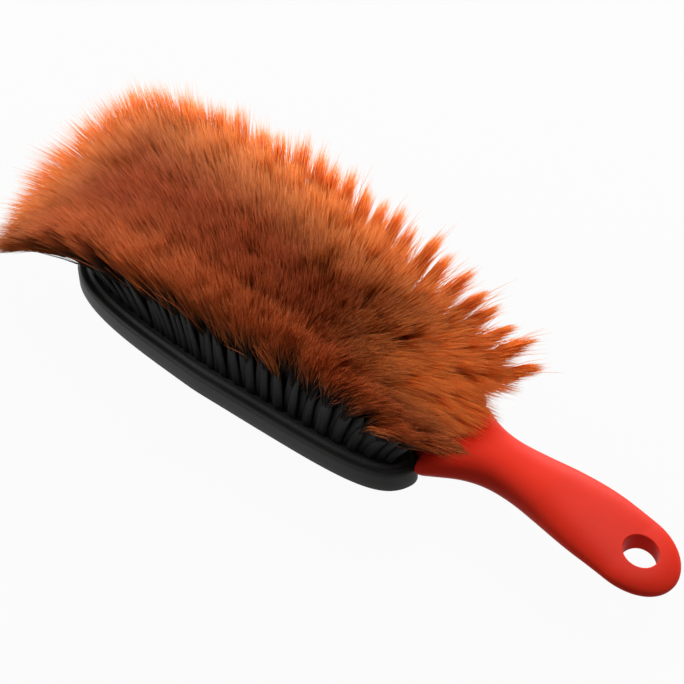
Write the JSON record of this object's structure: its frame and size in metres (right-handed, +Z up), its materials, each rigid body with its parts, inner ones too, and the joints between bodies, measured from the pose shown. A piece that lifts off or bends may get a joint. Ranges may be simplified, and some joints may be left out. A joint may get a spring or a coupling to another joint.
{
  "type": "neck duster brush",
  "caption": "Barber's neck duster: flat black tuft block of soft orange hair with dark roots, on a one-piece red handle with an arched grip and a hanging hole.",
  "frame": {"origin": "centre of the footprint, on the surface that the brush lies on", "axes": "+X along the brush towards the handle, +Z up along the hair, +Y across the head"},
  "size_m": [0.2452, 0.085, 0.0479],
  "materials": {
    "red_plastic": "smooth satin red moulding",
    "black_plastic": "matt black moulding with a soft sheen",
    "hair": "soft dyed hair, black at the root, orange at the tip",
    "anchor_steel": "plain flat steel wire"
  },
  "bodies": {
    "root": {"handle": "red_plastic", "tuft_block": "black_plastic", "tuft_row_1": "hair", "tuft_row_2": "hair", "tuft_row_3": "hair", "tuft_row_4": "hair", "tuft_row_5": "hair", "tuft_row_6": "hair", "tuft_row_7": "hair", "tuft_row_8": "hair", "tuft_row_9": "hair", "anchor_row_1": "anchor_steel", "anchor_row_2": "anchor_steel", "anchor_row_3": "anchor_steel", "anchor_row_4": "anchor_steel", "anchor_row_5": "anchor_steel", "anchor_row_6": "anchor_steel", "anchor_row_7": "anchor_steel", "anchor_row_8": "anchor_steel", "anchor_row_9": "anchor_steel"}
  },
  "joints": []
}
